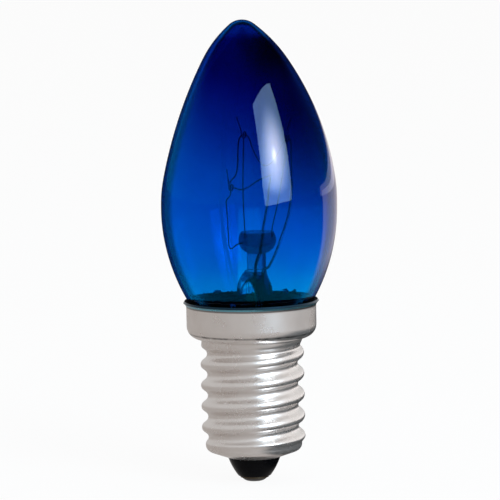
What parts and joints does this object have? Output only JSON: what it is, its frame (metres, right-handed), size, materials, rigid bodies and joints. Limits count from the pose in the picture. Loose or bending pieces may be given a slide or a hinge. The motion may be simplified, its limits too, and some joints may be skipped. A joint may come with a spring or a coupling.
{
  "type": "light bulb",
  "caption": "Clear deep-blue glass candle lamp on a small rolled screw cap with a wide collar, with a wire filament on a glass stem inside.",
  "frame": {"origin": "centre of the contact's flat end, at the bottom of the cap", "axes": "+Z along the lamp's axis from the contact to the tip of the glass; -Y is the side that the picture shows; +X is to the right in the picture"},
  "size_m": [0.0234, 0.0234, 0.0617],
  "materials": {
    "blue_glass": "clear deep-blue tinted glass, high gloss",
    "clear_glass": "clear glass, high gloss",
    "black_glass": "opaque black glass, gloss",
    "cap_metal": "drawn and rolled sheet, satin",
    "contact_brass": "bright brass",
    "solder": "dull tin-grey solder",
    "copper_wire": "copper-covered wire, red where it is sealed in the glass",
    "nickel_wire": "nickel wire, satin",
    "support_wire": "thin grey wire",
    "tungsten": "fine dark coil",
    "cement": "baked basing cement, matt buff"
  },
  "bodies": {
    "root": {"glass_envelope": "blue_glass", "stem_flare": "clear_glass", "stem_rod": "clear_glass", "exhaust_tube": "clear_glass", "seal_wire_front": "copper_wire", "seal_wire_back": "copper_wire", "lead_wire_front": "nickel_wire", "lead_wire_back": "nickel_wire", "support_wire_left": "support_wire", "support_wire_front_left": "support_wire", "support_wire_front_right": "support_wire", "filament": "tungsten", "cap_shell": "cap_metal", "insulator": "black_glass", "contact_plate": "contact_brass", "centre_solder": "solder", "side_solder": "solder", "basing_cement": "cement", "outer_lead_contact": "copper_wire", "outer_lead_collar": "copper_wire"}
  },
  "joints": []
}
